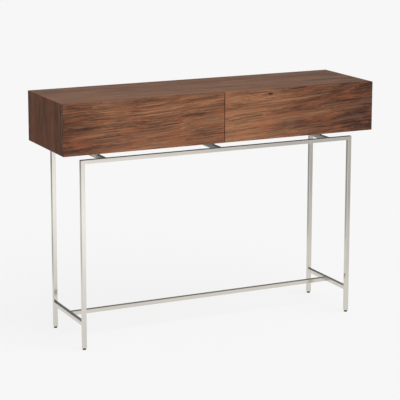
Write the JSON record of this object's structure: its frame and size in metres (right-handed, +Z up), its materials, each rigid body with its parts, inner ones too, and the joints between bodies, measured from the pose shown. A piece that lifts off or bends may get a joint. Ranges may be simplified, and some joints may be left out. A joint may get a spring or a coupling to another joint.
{
  "type": "console table",
  "caption": "Long narrow console table: walnut box case with push-to-open drawers, standing clear of a slim square-tube metal frame with an H stretcher.",
  "frame": {"origin": "on the floor, at the centre of the table's footprint", "axes": "+X along the table, to the right when seen from the front; +Y towards the wall, so the drawers open along -Y; +Z up"},
  "size_m": [1.067, 0.3, 0.768],
  "materials": {
    "walnut_veneer": "satin walnut veneer",
    "satin_steel": "brushed nickel-plated steel",
    "drawer_ply": "clear-lacquered birch plywood",
    "beech": "bare beech",
    "zinc_steel": "bright zinc plate",
    "black_plastic": "matt black nylon",
    "black_steel": "black-coated steel, satin",
    "grey_plastic": "matt grey nylon"
  },
  "bodies": {
    "table": {"top_panel": "walnut_veneer", "bottom_panel": "walnut_veneer", "left_end_panel": "walnut_veneer", "right_end_panel": "walnut_veneer", "back_panel": "walnut_veneer", "centre_divider": "walnut_veneer", "front_rail": "satin_steel", "rear_rail": "satin_steel", "front_left_leg": "satin_steel", "front_right_leg": "satin_steel", "rear_left_leg": "satin_steel", "rear_right_leg": "satin_steel", "left_crossbar": "satin_steel", "middle_crossbar": "satin_steel", "right_crossbar": "satin_steel", "left_stretcher": "satin_steel", "right_stretcher": "satin_steel", "long_stretcher": "satin_steel", "case_dowels": "beech", "back_panel_screws": "zinc_steel", "leg_bushes": "black_plastic", "standoff_spacers": "zinc_steel", "case_screws": "zinc_steel", "cabinet_runner_screws": "zinc_steel", "left_outer_cabinet_runner": "zinc_steel", "left_inner_cabinet_runner": "zinc_steel", "left_latch_housing": "grey_plastic", "right_outer_cabinet_runner": "zinc_steel", "right_inner_cabinet_runner": "zinc_steel", "right_latch_housing": "grey_plastic"},
    "left_drawer": {"left_drawer_front": "walnut_veneer", "left_drawer_box_front": "drawer_ply", "left_drawer_box_back": "drawer_ply", "left_drawer_outer_side": "drawer_ply", "left_drawer_inner_side": "drawer_ply", "left_drawer_bottom": "drawer_ply", "left_drawer_front_screws": "zinc_steel", "left_drawer_runner_screws": "zinc_steel", "left_outer_drawer_runner": "zinc_steel", "left_inner_drawer_runner": "zinc_steel"},
    "left_runner_middle": {"left_outer_middle_runner": "zinc_steel", "left_inner_middle_runner": "zinc_steel"},
    "left_plunger": {"left_latch_plunger": "grey_plastic"},
    "right_drawer": {"right_drawer_front": "walnut_veneer", "right_drawer_box_front": "drawer_ply", "right_drawer_box_back": "drawer_ply", "right_drawer_outer_side": "drawer_ply", "right_drawer_inner_side": "drawer_ply", "right_drawer_bottom": "drawer_ply", "right_drawer_front_screws": "zinc_steel", "right_drawer_runner_screws": "zinc_steel", "right_outer_drawer_runner": "zinc_steel", "right_inner_drawer_runner": "zinc_steel"},
    "right_runner_middle": {"right_outer_middle_runner": "zinc_steel", "right_inner_middle_runner": "zinc_steel"},
    "right_plunger": {"right_latch_plunger": "grey_plastic"},
    "front_left_foot": {"front_left_foot": "black_steel"},
    "front_right_foot": {"front_right_foot": "black_steel"},
    "rear_left_foot": {"rear_left_foot": "black_steel"},
    "rear_right_foot": {"rear_right_foot": "black_steel"}
  },
  "joints": [
    {"name": "left_drawer_slide", "type": "slide", "parent": "table", "child": "left_drawer", "axis": [0, -1, 0], "range_m": [0, 0.24]},
    {"name": "left_runner_slide", "type": "slide", "parent": "table", "child": "left_runner_middle", "axis": [0, -1, 0], "range_m": [0, 0.12]},
    {"name": "left_plunger_press", "type": "slide", "parent": "table", "child": "left_plunger", "axis": [0, 1, 0], "range_m": [0, 0.0025], "stiffness_N_per_m": 1500, "springref_m": -0.004},
    {"name": "right_drawer_slide", "type": "slide", "parent": "table", "child": "right_drawer", "axis": [0, -1, 0], "range_m": [0, 0.24]},
    {"name": "right_runner_slide", "type": "slide", "parent": "table", "child": "right_runner_middle", "axis": [0, -1, 0], "range_m": [0, 0.12]},
    {"name": "right_plunger_press", "type": "slide", "parent": "table", "child": "right_plunger", "axis": [0, 1, 0], "range_m": [0, 0.0025], "stiffness_N_per_m": 1500, "springref_m": -0.004},
    {"name": "front_left_foot_screw", "type": "slide", "parent": "table", "child": "front_left_foot", "axis": [0, 0, -1], "range_m": [0, 0.008]},
    {"name": "front_right_foot_screw", "type": "slide", "parent": "table", "child": "front_right_foot", "axis": [0, 0, -1], "range_m": [0, 0.008]},
    {"name": "rear_left_foot_screw", "type": "slide", "parent": "table", "child": "rear_left_foot", "axis": [0, 0, -1], "range_m": [0, 0.008]},
    {"name": "rear_right_foot_screw", "type": "slide", "parent": "table", "child": "rear_right_foot", "axis": [0, 0, -1], "range_m": [0, 0.008]}
  ],
  "couplings": [
    {"joint": "left_runner_slide", "follows": "left_drawer_slide", "ratio": 0.5},
    {"joint": "right_runner_slide", "follows": "right_drawer_slide", "ratio": 0.5}
  ]
}
